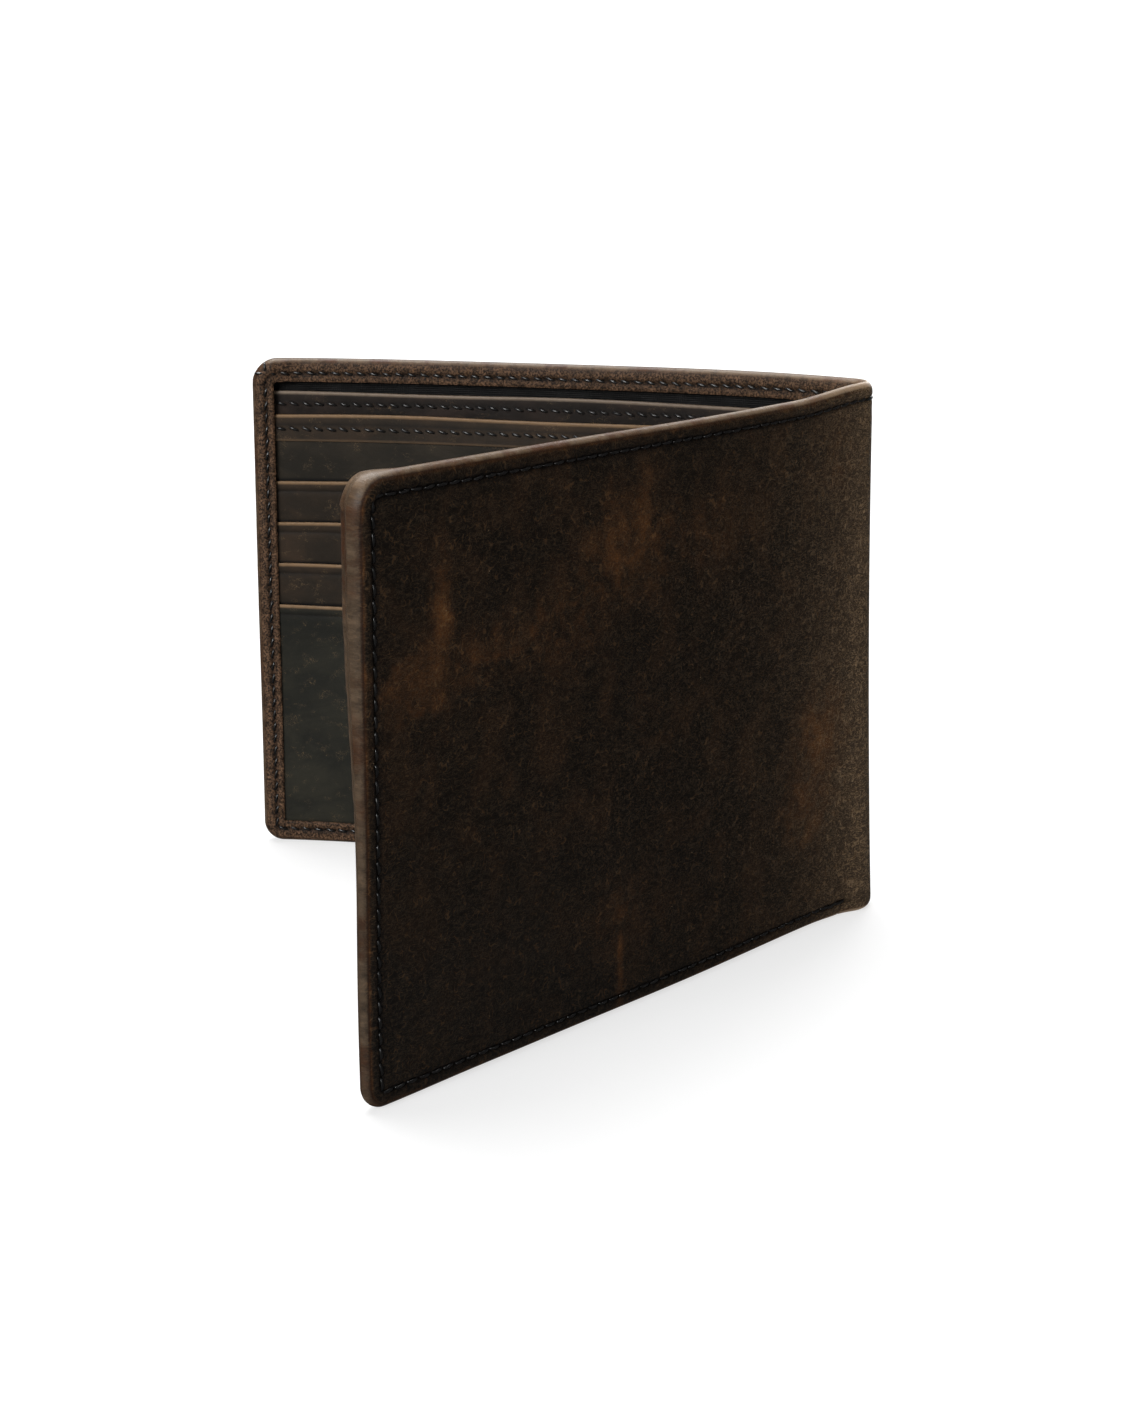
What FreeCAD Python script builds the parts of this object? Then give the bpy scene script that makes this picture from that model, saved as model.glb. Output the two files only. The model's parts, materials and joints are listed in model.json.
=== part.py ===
"""Bifold leather wallet, standing half open on its lower edges.

Two halves of like build are joined by a soft spine. Each half is an outer shell whose edges are turned in
and sewn down over a stack of thin pieces: a stiffener, the bill compartment's lining and divider, and an
inner wall with four stepped card pockets.
Each half is bowed outwards a little. It is modelled in coordinates of its own: u runs along its outer face
from the end of the spine to the free edge, w goes in from the outer face, and z is up. The back half leaves
the spine along -X; the front half leaves it the same way and is then mirrored and turned open. Last, the
whole wallet is turned so that the back half's two ends lie along X.
"""

import FreeCAD, Part
import math
import os

from FreeCAD import Vector

# Overall sizes, in millimetres and degrees.
WALLET_HEIGHT = 90.0
PANEL_LENGTH = 110.0
BACK_BOW_RADIUS = 220.0
FRONT_BOW_RADIUS = 3000.0
FOLD_ANGLE = 78.5
TOP_CORNER_RADIUS = 4.5
BOTTOM_CORNER_RADIUS = 3.5
CLOSED_FOLD_ROOM = 2.3

# Thickness of each layer, from the outer face in.
SHELL_THICKNESS = 0.8
STIFFENER_THICKNESS = 0.25
LINING_THICKNESS = 0.15
REAR_BILL_GAP = 0.3
DIVIDER_THICKNESS = 0.35
FRONT_BILL_GAP = 0.25
INNER_WALL_THICKNESS = 0.2
STRIP_THICKNESS = 0.3
CARD_SLOT_GAP = 0.05
TAIL_THICKNESS = 0.1
HEM_THICKNESS = 0.45
HEM_CLEARANCE = 0.05

# The turned edge, and the fit of what lies inside it.
HEM_WIDTH = 4.1
LAYER_CLEARANCE = 0.1
STIFFENER_INSET = 1.5
NOTCH_CLEARANCE = 0.3

# Heights of the top edges, from the floor, and the card pockets.
DIVIDER_TOP = 84.0
INNER_WALL_TOP = 80.0
BAND_HEIGHT = 4.8
FIRST_POCKET_TOP = 68.0
POCKET_STEP = 7.6
POCKET_COUNT = 4
STRIP_HEIGHT = 12.0
POCKET_DEPTH = 50.0
LOWEST_TAIL_FOOT = 4.4
TAIL_INSET = 5.0
GUTTER = 8.0
GUTTER_CLEARANCE = 0.3

# Sewing thread.
THREAD_WIDTH = 0.4
THREAD_HEIGHT = 0.15
FLAT_THREAD_HEIGHT = 0.1
STITCH_INSET = 2.6
DIVIDER_STITCH_DROP = 2.0
BAND_STITCH_DROP = 2.5
POCKET_STITCH_INSET = 1.8
LOWER_STITCH_START = 2.0

# Depth at which each layer starts, worked out from the layers behind it.
STIFFENER_W = SHELL_THICKNESS
LINING_W = STIFFENER_W + STIFFENER_THICKNESS
LINING_FACE = LINING_W + LINING_THICKNESS
DIVIDER_W = LINING_FACE + REAR_BILL_GAP
DIVIDER_FACE = DIVIDER_W + DIVIDER_THICKNESS
INNER_WALL_W = DIVIDER_FACE + FRONT_BILL_GAP
INNER_WALL_FACE = INNER_WALL_W + INNER_WALL_THICKNESS
LEVEL_PITCH = STRIP_THICKNESS + CARD_SLOT_GAP
LAST_POCKET_FACE = INNER_WALL_FACE + POCKET_COUNT * LEVEL_PITCH - CARD_SLOT_GAP
HEM_W = LAST_POCKET_FACE + HEM_CLEARANCE
PANEL_THICKNESS = HEM_W + HEM_THICKNESS
TOP_HEM_FACE = LINING_FACE + HEM_THICKNESS

# The spine is an arc about the Z axis. Its leather bends at its two ends, half way through the shell, and it
# is just long enough for the halves to fold shut over what reaches the fold.
BEND_DEPTH = SHELL_THICKNESS / 2
SPINE_TURN = 180.0 - FOLD_ANGLE
SPINE_CHORD = 2 * (INNER_WALL_FACE - BEND_DEPTH) + CLOSED_FOLD_ROOM
BEND_RADIUS = SPINE_CHORD / (2 * math.sin(math.radians(SPINE_TURN / 2)))
SPINE_RADIUS = BEND_RADIUS + BEND_DEPTH

UP = Vector(0, 0, 1)
AXIS_FOOT = Vector(0, 0, 0)
PAST = 1.0  # how far a cutting tool runs past what it cuts


def polar(centre, radius, angle):
    """The point at that radius and angle, in degrees, about a centre."""
    turn = math.radians(angle)
    return centre + Vector(radius * math.cos(turn), radius * math.sin(turn), 0)


def curved_slab(centre, outer, inner, start, turn, z1, z2):
    """An upright slab between two radii about a centre, turning from the angle start, in degrees."""
    foot = centre + UP * z1
    middle = start + turn / 2
    end = start + turn
    face_out = Part.Arc(polar(foot, outer, start), polar(foot, outer, middle), polar(foot, outer, end))
    face_in = Part.Arc(polar(foot, inner, end), polar(foot, inner, middle), polar(foot, inner, start))
    side_end = Part.LineSegment(polar(foot, outer, end), polar(foot, inner, end))
    side_start = Part.LineSegment(polar(foot, inner, start), polar(foot, outer, start))
    wire = Part.Wire([curve.toShape() for curve in (face_out, side_end, face_in, side_start)])
    return Part.Face(wire).extrude(UP * (z2 - z1))


class Half:
    """One half of the wallet, whose outer face is bowed to a radius about an upright axis."""

    def __init__(self, bow_radius):
        self.bow_radius = bow_radius
        self.centre = Vector(0, SPINE_RADIUS - bow_radius, 0)

    def angle(self, u):
        """Angle about the bow's axis of a point at u along the outer face."""
        return 90.0 + math.degrees(u / self.bow_radius)

    def sheet(self, u1, u2, w1, w2, z1, z2):
        """A plain bowed sheet in the half's own coordinates."""
        start = self.angle(u1)
        turn = self.angle(u2) - start
        return curved_slab(self.centre, self.bow_radius - w1, self.bow_radius - w2, start, turn, z1, z2)

    def layer(self, inset, w1, w2, start_u=0.0):
        """A sheet with the half's outline and round corners, drawn in by inset on its three sewn sides."""
        end = PANEL_LENGTH - inset
        foot = inset
        top = WALLET_HEIGHT - inset
        solid = self.sheet(start_u, end, w1, w2, foot, top)
        for height, radius in ((foot, BOTTOM_CORNER_RADIUS - inset), (top, TOP_CORNER_RADIUS - inset)):
            if radius > 0:
                place = polar(self.centre, self.bow_radius - (w1 + w2) / 2, self.angle(end)) + UP * height
                edge = min(solid.Edges, key=lambda e: (e.CenterOfMass - place).Length)
                solid = solid.makeFillet(radius, [edge])
        return solid

    def band_of(self, inset, width, w1, w2):
        """A band of that width, along the outline at that inset, open at the fold."""
        outer = self.layer(inset, w1, w2)
        return outer.cut(self.layer(inset + width, w1 - PAST, w2 + PAST, -PAST))

    def clipped(self, solid, z_top):
        """The part of a layer below z_top."""
        end = PANEL_LENGTH + PAST
        return solid.cut(self.sheet(-PAST, end, -PAST, PANEL_THICKNESS + PAST, z_top, WALLET_HEIGHT + PAST))

    def without_notch(self, solid):
        """Cuts back a leaf's lower corner at the fold, where the turned edge lies against the lining."""
        notch_u = GUTTER + GUTTER_CLEARANCE
        notch_z = HEM_WIDTH + NOTCH_CLEARANCE
        return solid.cut(self.sheet(-PAST, notch_u, 0, PANEL_THICKNESS, -PAST, notch_z))

    def top_zone(self, w1, w2):
        """The space of the top turned edge, from the fold to the side's turned edge."""
        end = PANEL_LENGTH - HEM_WIDTH
        return self.sheet(-PAST, end, w1, w2, WALLET_HEIGHT - HEM_WIDTH, WALLET_HEIGHT + PAST)

    def notch_zone(self, w1, w2):
        """The space of the lower turned edge beside the fold, where nothing is sewn in."""
        return self.sheet(-PAST, GUTTER, w1, w2, -PAST, HEM_WIDTH)

    def shell(self):
        """Outer leather, turned in over everything at the side and foot, over the lining at the top."""
        block = self.layer(0, 0, PANEL_THICKNESS)
        inside = self.layer(SHELL_THICKNESS, SHELL_THICKNESS, HEM_W, -PAST)
        for zone in (self.top_zone, self.notch_zone):
            inside = inside.cut(zone(LINING_FACE, TOP_HEM_FACE))
        window = self.layer(HEM_WIDTH, HEM_W - PAST, PANEL_THICKNESS + PAST, -PAST)
        leather = block.cut(inside).cut(window)
        for zone in (self.top_zone, self.notch_zone):
            leather = leather.cut(zone(TOP_HEM_FACE, PANEL_THICKNESS + PAST))
        return leather.removeSplitter()

    def stiffener(self):
        """Thin board bonded behind the outer leather."""
        return self.layer(STIFFENER_INSET, STIFFENER_W, LINING_W)

    def bill_lining(self):
        """Lining of the bill compartment, bonded over the stiffener and caught under the turned edges."""
        return self.layer(SHELL_THICKNESS + LAYER_CLEARANCE, LINING_W, LINING_FACE)

    def bill_divider(self):
        """Leaf that parts the two bill compartments."""
        leaf = self.layer(SHELL_THICKNESS + LAYER_CLEARANCE, DIVIDER_W, DIVIDER_FACE)
        return self.without_notch(self.clipped(leaf, DIVIDER_TOP))

    def inner_wall(self):
        """Front wall of the bill compartment, which carries the card pockets."""
        leaf = self.layer(SHELL_THICKNESS + LAYER_CLEARANCE, INNER_WALL_W, INNER_WALL_FACE)
        return self.without_notch(self.clipped(leaf, INNER_WALL_TOP))

    def card_strip(self, w1, z1, z2):
        """A leather strip across the card side, between two heights."""
        leaf = self.layer(SHELL_THICKNESS + LAYER_CLEARANCE, w1, w1 + STRIP_THICKNESS)
        depth = PANEL_THICKNESS + PAST
        gutter = self.sheet(-PAST, GUTTER, -PAST, depth, -PAST, WALLET_HEIGHT + PAST)
        below = self.sheet(-PAST, PANEL_LENGTH + PAST, -PAST, depth, -PAST, z1)
        return self.clipped(leaf, z2).cut(gutter).cut(below)

    def top_band(self):
        """Leather band sewn along the top of the inner wall."""
        return self.card_strip(INNER_WALL_FACE, INNER_WALL_TOP - BAND_HEIGHT, INNER_WALL_TOP)

    def pocket_strip(self, number):
        """Leather front of a stepped card pocket, as far down as it shows and a little more."""
        return self.card_strip(level(number), strip_foot(number), pocket_top(number))

    def last_pocket(self):
        """Whole front of the lowest card pocket, down to the turned edge."""
        return self.card_strip(level(POCKET_COUNT), SHELL_THICKNESS, pocket_top(POCKET_COUNT))

    def pocket_tail(self, number):
        """Fabric tail that closes a stepped card pocket behind the pockets below it."""
        foot = max(pocket_top(number) - POCKET_DEPTH, LOWEST_TAIL_FOOT)
        start = level(number)
        far = PANEL_LENGTH - HEM_WIDTH
        return self.sheet(GUTTER + TAIL_INSET, far, start, start + TAIL_THICKNESS, foot, strip_foot(number))

    def level_thread(self, start_u, face, height, rise):
        """A level run of thread on a face at that depth, up to the side's turned edge."""
        low = height - THREAD_WIDTH / 2
        return self.sheet(start_u, PANEL_LENGTH - HEM_WIDTH, face, face + rise, low, low + THREAD_WIDTH)

    def edge_thread(self):
        """Thread round the sewn edge: a run outside, and inside one on each depth of the turned edge."""
        inset = STITCH_INSET - THREAD_WIDTH / 2
        outside = self.band_of(inset, THREAD_WIDTH, -THREAD_HEIGHT, 0)
        outside = outside.cut(self.sheet(-PAST, LOWER_STITCH_START, -PAST, PAST, -PAST, HEM_WIDTH))
        inside = self.band_of(inset, THREAD_WIDTH, PANEL_THICKNESS, PANEL_THICKNESS + THREAD_HEIGHT)
        for zone in (self.top_zone, self.notch_zone):
            inside = inside.cut(zone(0, PANEL_THICKNESS + PAST))
        top_run = self.level_thread(0, TOP_HEM_FACE, WALLET_HEIGHT - STITCH_INSET, THREAD_HEIGHT)
        low = STITCH_INSET - THREAD_WIDTH / 2
        shallow = (TOP_HEM_FACE, TOP_HEM_FACE + THREAD_HEIGHT)
        far = GUTTER - GUTTER_CLEARANCE
        notch_run = self.sheet(LOWER_STITCH_START, far, *shallow, low, low + THREAD_WIDTH)
        return Part.makeCompound([outside, inside, top_run, notch_run])

    def divider_thread(self):
        """Thread along the divider's top edge."""
        return self.level_thread(0, DIVIDER_FACE, DIVIDER_TOP - DIVIDER_STITCH_DROP, FLAT_THREAD_HEIGHT)

    def band_thread(self):
        """Thread along the band of the inner wall."""
        face = INNER_WALL_FACE + STRIP_THICKNESS
        return self.level_thread(GUTTER, face, INNER_WALL_TOP - BAND_STITCH_DROP, FLAT_THREAD_HEIGHT)

    def pocket_thread(self):
        """Thread up the fold side of the card pockets, one run on each exposed step."""
        left = GUTTER + POCKET_STITCH_INSET - THREAD_WIDTH / 2
        runs = []
        for number in range(1, POCKET_COUNT + 1):
            face = level(number) + STRIP_THICKNESS
            foot = pocket_top(number + 1) + LAYER_CLEARANCE
            if number == POCKET_COUNT:
                foot = HEM_WIDTH + LAYER_CLEARANCE
            top = pocket_top(number)
            runs.append(self.sheet(left, left + THREAD_WIDTH, face, face + FLAT_THREAD_HEIGHT, foot, top))
        return Part.makeCompound(runs)

    def pieces(self):
        """Every piece of the half, by name."""
        named = {
            "shell": self.shell(),
            "stiffener": self.stiffener(),
            "bill_lining": self.bill_lining(),
            "bill_divider": self.bill_divider(),
            "inner_wall": self.inner_wall(),
            "top_band": self.top_band(),
            f"card_pocket_{POCKET_COUNT}": self.last_pocket(),
            "edge_thread": self.edge_thread(),
            "divider_thread": self.divider_thread(),
            "band_thread": self.band_thread(),
            "pocket_thread": self.pocket_thread(),
        }
        for number in range(1, POCKET_COUNT):
            named[f"card_pocket_{number}"] = self.pocket_strip(number)
            named[f"pocket_tail_{number}"] = self.pocket_tail(number)
        return named


def level(number):
    """Depth at which card pocket number 1, 2, 3 or 4 starts, pocket 1 lying deepest."""
    return INNER_WALL_FACE + (number - 1) * LEVEL_PITCH


def pocket_top(number):
    """Height of a card pocket's top edge."""
    return FIRST_POCKET_TOP - (number - 1) * POCKET_STEP


def strip_foot(number):
    """Height of a pocket strip's lower edge."""
    return pocket_top(number) - STRIP_HEIGHT


def spine_arc(w1, w2, z1, z2):
    """An arc of the spine, from depth w1 to w2 and height z1 to z2."""
    start = 90.0 - SPINE_TURN
    return curved_slab(AXIS_FOOT, SPINE_RADIUS - w1, SPINE_RADIUS - w2, start, SPINE_TURN, z1, z2)


def spine_shell():
    """Outer leather round the fold, turned in over the lining at its top and foot."""
    leather = spine_arc(0, SHELL_THICKNESS, 0, WALLET_HEIGHT)
    edge_foot = WALLET_HEIGHT - SHELL_THICKNESS
    for z1, z2 in ((0, SHELL_THICKNESS), (edge_foot, WALLET_HEIGHT)):
        leather = leather.fuse(spine_arc(0, TOP_HEM_FACE, z1, z2))
    for z1, z2 in ((0, HEM_WIDTH), (WALLET_HEIGHT - HEM_WIDTH, WALLET_HEIGHT)):
        leather = leather.fuse(spine_arc(LINING_FACE, TOP_HEM_FACE, z1, z2))
    return leather.removeSplitter()


def spine_thread():
    """Thread round the fold's top edge, one run outside and one on the turned edge inside."""
    low = WALLET_HEIGHT - STITCH_INSET - THREAD_WIDTH / 2
    high = low + THREAD_WIDTH
    outside = spine_arc(-THREAD_HEIGHT, 0, low, high)
    inside = spine_arc(TOP_HEM_FACE, TOP_HEM_FACE + THREAD_HEIGHT, low, high)
    return Part.makeCompound([outside, inside])


def spine_pieces():
    """Every piece that crosses the fold, by name."""
    lining_low = SHELL_THICKNESS + LAYER_CLEARANCE
    lining_high = WALLET_HEIGHT - lining_low
    leaf_foot = HEM_WIDTH + NOTCH_CLEARANCE
    return {
        "spine_shell": spine_shell(),
        "spine_lining": spine_arc(STIFFENER_W, LINING_FACE, lining_low, lining_high),
        "spine_divider": spine_arc(DIVIDER_W, DIVIDER_FACE, leaf_foot, DIVIDER_TOP),
        "spine_inner_wall": spine_arc(INNER_WALL_W, INNER_WALL_FACE, leaf_foot, INNER_WALL_TOP),
        "spine_thread": spine_thread(),
    }


def opened(solid):
    """The front half's pieces: mirrored, and turned open about the spine's axis."""
    front = solid.mirror(AXIS_FOOT, Vector(0, 1, 0))
    front.rotate(AXIS_FOOT, UP, FOLD_ANGLE)
    return front


def squaring_turn():
    """Angle, in degrees, that brings the two ends of the back half's outer face onto a line along X."""
    return math.degrees(PANEL_LENGTH / BACK_BOW_RADIUS) / 2


def bend_axes():
    """Where the spine's leather bends: a point at the back half, and one at the front half."""
    return [polar(AXIS_FOOT, BEND_RADIUS, angle - squaring_turn()) for angle in (90.0, 90.0 - SPINE_TURN)]


def wallet_pieces():
    """Every node's shape, and the two bend axes, with the origin under the middle of the whole wallet."""
    pieces = spine_pieces()
    for name, solid in Half(BACK_BOW_RADIUS).pieces().items():
        pieces[name + "_back"] = solid
    for name, solid in Half(FRONT_BOW_RADIUS).pieces().items():
        pieces[name + "_front"] = opened(solid)
    for shape in pieces.values():
        shape.rotate(AXIS_FOOT, UP, -squaring_turn())
    box = Part.makeCompound(list(pieces.values())).optimalBoundingBox(False, False)
    to_origin = Vector(-box.Center.x, -box.Center.y, 0)
    for shape in pieces.values():
        shape.translate(to_origin)
    return pieces, [axis + to_origin for axis in bend_axes()]


def main():
    """Writes one file per node."""
    os.makedirs("parts", exist_ok=True)
    pieces, axes = wallet_pieces()
    for name, shape in sorted(pieces.items()):
        shape.exportStep(f"parts/{name}.step")
    for side, axis in zip(("back", "front"), axes):
        print(f"bend axis at the {side} half: x {axis.x:.4f}, y {axis.y:.4f}")


if __name__ == "__main__":
    main()
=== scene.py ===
import json
import math

import bpy
import numpy as np
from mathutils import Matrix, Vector


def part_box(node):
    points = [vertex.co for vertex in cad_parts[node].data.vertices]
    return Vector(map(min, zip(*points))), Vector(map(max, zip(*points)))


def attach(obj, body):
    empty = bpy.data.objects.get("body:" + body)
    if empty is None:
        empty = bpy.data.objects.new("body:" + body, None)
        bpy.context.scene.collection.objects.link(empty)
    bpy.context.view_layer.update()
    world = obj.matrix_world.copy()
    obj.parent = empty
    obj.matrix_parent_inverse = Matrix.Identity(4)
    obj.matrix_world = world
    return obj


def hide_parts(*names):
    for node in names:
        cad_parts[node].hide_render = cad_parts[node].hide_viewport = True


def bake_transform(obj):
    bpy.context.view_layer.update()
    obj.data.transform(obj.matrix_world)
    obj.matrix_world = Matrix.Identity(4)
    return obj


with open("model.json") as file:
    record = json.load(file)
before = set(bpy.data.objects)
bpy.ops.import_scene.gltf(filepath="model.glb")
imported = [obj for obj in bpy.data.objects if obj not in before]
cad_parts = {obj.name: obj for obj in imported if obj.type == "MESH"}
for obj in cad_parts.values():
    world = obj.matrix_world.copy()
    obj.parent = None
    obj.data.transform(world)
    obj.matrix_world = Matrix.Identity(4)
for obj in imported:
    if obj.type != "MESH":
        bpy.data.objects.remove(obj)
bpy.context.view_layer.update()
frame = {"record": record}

# ---------------------------------------------------------------------------------------------------------------
# Shell leather: two covers of waxed, oiled cowhide that meet in the middle of the spine. The edge is turned in
# and sewn down: over the whole stack at the side and foot, over the lining at the top. Its rim shows wear and a
# painted highlight.
# ---------------------------------------------------------------------------------------------------------------
MM = 0.001

# How a half lies. One line is followed along the outer face: the back half, the narrow soft spine, the front
# half. A place on a half is u, from the spine to the free edge, w, in from the outer face, and the height z.
LENGTH = 110.0 * MM
FOLD_ANGLE = 78.5
BOW_RADIUS = {"back": 220.0 * MM, "front": 3000.0 * MM}
SHELL = 0.8 * MM
FULL_DEPTH = 4.15 * MM

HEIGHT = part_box("shell_back")[1][2]
JOINTS = {joint["name"]: joint for joint in frame["record"]["behaviour"]["joints"]}
BACK_BEND = np.array(JOINTS["fold_back"]["pos_m"][:2])
FRONT_BEND = np.array(JOINTS["fold_front"]["pos_m"][:2])
SPINE_TURN = math.radians(180 - FOLD_ANGLE)
SPINE_RADIUS = np.linalg.norm(FRONT_BEND - BACK_BEND) / (2 * math.sin(SPINE_TURN / 2)) + SHELL / 2
SPINE_LENGTH = SPINE_RADIUS * SPINE_TURN
SQUARING = LENGTH / BOW_RADIUS["back"] / 2

# How the soft leather departs from that: the free edge is pinched, the top rises by the fold, the foot bulges there.
PINCH = {"back": 0.18, "front": 0.36}
WAVE_PHASE = {"back": 2.1, "front": 0.0}
FOLD_RISE = 1.0 * MM
RISE_REACH = {"back": 75 * MM, "front": 18 * MM}
CORNER_RISE = 0.5 * MM
FLARE = 2.3 * MM
FLARE_REACH = {"back": (0.0, 22 * MM), "front": (-4 * MM, 4 * MM)}


def direction(angle):
    """Unit vectors in plan at angles in radians."""
    return np.stack([np.cos(angle), np.sin(angle)], axis=-1)


SPINE_CENTRE = BACK_BEND - direction(math.pi / 2 - SQUARING) * (SPINE_RADIUS - SHELL / 2)


def unfolded(side, u):
    """Distance along the whole outer face of a place at u on one half, from the back half's bend."""
    return SPINE_LENGTH + u if side == "front" else -u


def plan(side, u, w):
    """Plan position of places at u and depth w. A negative u lies in that side's half of the spine."""
    radius = BOW_RADIUS[side]
    bow_centre = np.array([0.0, SPINE_RADIUS - radius])
    on_half = bow_centre + direction(math.pi / 2 + u / radius) * (radius - w)[..., None]
    on_spine = direction(math.pi / 2 + u / SPINE_RADIUS) * (SPINE_RADIUS - w)[..., None]
    flat = np.where((u > 0)[..., None], on_half, on_spine)
    turn = -SQUARING
    if side == "front":
        flat = flat * (1, -1)
        turn += math.radians(FOLD_ANGLE)
    c, s = math.cos(turn), math.sin(turn)
    return SPINE_CENTRE + np.stack([flat[..., 0] * c - flat[..., 1] * s, flat[..., 0] * s + flat[..., 1] * c], -1)


def smooth(x, low, high):
    """0 below low, 1 above high, and a smooth rise between."""
    t = np.clip((x - low) / (high - low), 0, 1)
    return t * t * (3 - 2 * t)


def press(side, u, z):
    """Share of its full depth that the sewn stack keeps: the free edge is pinched thinner towards its foot."""
    foot = 1 - smooth(z, 30 * MM, 74 * MM)
    edge = smooth(u, LENGTH - 22 * MM, LENGTH - 3 * MM)
    return 1 - PINCH[side] * foot * edge


def give(side, u, z):
    """Slight waves of the soft leather, inwards where positive; every layer of a half shares them."""
    phase = WAVE_PHASE[side]
    along, up = u / MM, z / MM
    waves = 0.16 * np.sin(along / 17 + 1.3 + phase) * np.sin(up / 23 + 0.4 + phase)
    waves = waves + 0.09 * np.sin(along / 8.3 + up / 13 + phase)
    waves = waves + 0.07 * np.sin(along / 11 - up / 7.1 + 2 * phase)
    return waves * MM * smooth(u, 0, 14 * MM)


def lift(side, u, z):
    """Rise of the leather's top: beside the fold on both halves, and at the front's free corner."""
    rise = FOLD_RISE * (1 - smooth(u, 0, RISE_REACH[side])) * np.clip(z / HEIGHT, 0, 1) ** 2
    if side == "front":
        at_corner = smooth(z, HEIGHT - 3.2 * MM, HEIGHT - 0.5 * MM) * smooth(u, 30 * MM, 100 * MM)
        rise = rise + CORNER_RISE * at_corner
    return rise


def flare(side, u, z):
    """How far the spine stands out towards its foot, where its edge isn't sewn."""
    start, end = FLARE_REACH[side]
    return FLARE * (1 - smooth(u, start, end)) * np.clip(1 - z / HEIGHT, 0, 1) ** 1.8


def place(side, u, w, z):
    """Positions in the wallet of places on one half, as an array of points."""
    u, w, z = np.broadcast_arrays(np.asarray(u, float), np.asarray(w, float), np.asarray(z, float))
    flat = plan(side, u, w * press(side, u, z) + give(side, u, z) - flare(side, u, z))
    return np.concatenate([flat, (z + lift(side, u, z))[..., None]], axis=-1)


def mesh_object(name, points, faces, material, attributes):
    """A smooth-shaded object from points and faces, with named attributes, each a number or a vector a point."""
    mesh = bpy.data.meshes.new(name)
    mesh.from_pydata(points.tolist(), [], faces)
    for label, values in attributes.items():
        values = np.asarray(values, np.float32)
        kind = "FLOAT" if values.ndim == 1 else "FLOAT_VECTOR"
        data = mesh.attributes.new(label, kind, "POINT").data
        data.foreach_set("value" if values.ndim == 1 else "vector", values.ravel())
    mesh.shade_smooth()
    mesh.materials.append(material)
    piece = bpy.data.objects.new(name, mesh)
    bpy.context.collection.objects.link(piece)
    return piece


def grid_faces(rows, columns, offset=0, flip=False):
    """Faces of a grid of points stored row by row."""
    faces = []
    for i in range(rows - 1):
        for j in range(columns - 1):
            a = offset + i * columns + j
            quad = (a, a + 1, a + columns + 1, a + columns)
            faces.append(quad[::-1] if flip else quad)
    return faces


def applied(piece):
    """Replaces a piece's mesh by what its modifiers make of it, and removes them."""
    graph = bpy.context.evaluated_depsgraph_get()
    finished = bpy.data.meshes.new_from_object(piece.evaluated_get(graph))
    piece.modifiers.clear()
    piece.data = finished
    return piece


class Value:
    """A number in a shader, so that sums of sockets read as sums."""

    def __init__(self, shader, socket):
        self.shader = shader
        self.socket = socket

    def _math(self, operation, *values):
        return self.shader.add("Math", {"operation": operation}, dict(enumerate(values)))

    def __add__(self, other):
        return self._math("ADD", self, other)

    def __sub__(self, other):
        return self._math("SUBTRACT", self, other)

    def __rsub__(self, other):
        return self._math("SUBTRACT", other, self)

    def __mul__(self, other):
        return self._math("MULTIPLY", self, other)

    def __truediv__(self, other):
        return self._math("DIVIDE", self, other)

    def __abs__(self):
        return self._math("ABSOLUTE", self)

    __radd__ = __add__
    __rmul__ = __mul__

    def rise(self, low, high):
        """0 below low, 1 above high; with low above high it falls instead."""
        sockets = {"Value": self, "From Min": low, "From Max": high}
        return self.shader.add("MapRange", {"interpolation_type": "SMOOTHSTEP"}, sockets)


class Shader:
    """A material's node tree, ending in one Principled shader."""

    def __init__(self, name, **uniform):
        self.material = bpy.data.materials.new(name)
        self.material.use_nodes = True
        self.tree = self.material.node_tree
        self.surface = self.tree.nodes["Principled BSDF"]
        for label, value in uniform.items():
            self.surface.inputs[label.replace("_", " ")].default_value = value

    def add(self, kind, settings=None, sockets=None, output=0):
        """Adds a node, sets it up, fills or links its sockets, and gives back one of its outputs."""
        node = self.tree.nodes.new("ShaderNode" + kind)
        for label, value in (settings or {}).items():
            setattr(node, label, value)
        for key, value in (sockets or {}).items():
            if isinstance(value, Value):
                self.tree.links.new(value.socket, node.inputs[key])
            else:
                node.inputs[key].default_value = value
        return Value(self, node.outputs[output])

    def attribute(self, name, output="Vector"):
        """One of the piece's own named attributes, as a vector, or as a number with output Fac."""
        return self.add("Attribute", {"attribute_name": name}, output=output)

    def scaled(self, vector, scale, shift=(0, 0, 0)):
        """A vector scaled along each axis, then shifted, so that a pattern gets its grain size and its own place."""
        sockets = {0: vector, 1: scale, 2: shift}
        return self.add("VectorMath", {"operation": "MULTIPLY_ADD"}, sockets)

    def noise(self, vector, detail=3.0, rough=0.5, warp=0.0):
        """A cloudy pattern of 0 to 1."""
        sockets = {"Vector": vector, "Scale": 1.0, "Detail": detail, "Roughness": rough, "Distortion": warp}
        return self.add("TexNoise", None, sockets)

    def blend(self, factor, first, second):
        """Mixes two colours."""
        return self.add("Mix", {"data_type": "RGBA"}, {0: factor, 6: first, 7: second}, output=2)

    def bump(self, height, distance, strength=1.0, under=None):
        """A normal bent by a height pattern, on top of another bent normal where one is given."""
        sockets = {"Height": height, "Distance": distance, "Strength": strength}
        if under is not None:
            sockets["Normal"] = under
        return self.add("Bump", None, sockets)

    def finish(self, **links):
        """Feeds the surface and gives back the material."""
        for label, value in links.items():
            self.tree.links.new(value.socket, self.surface.inputs[label.replace("_", " ")])
        return self.material


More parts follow.
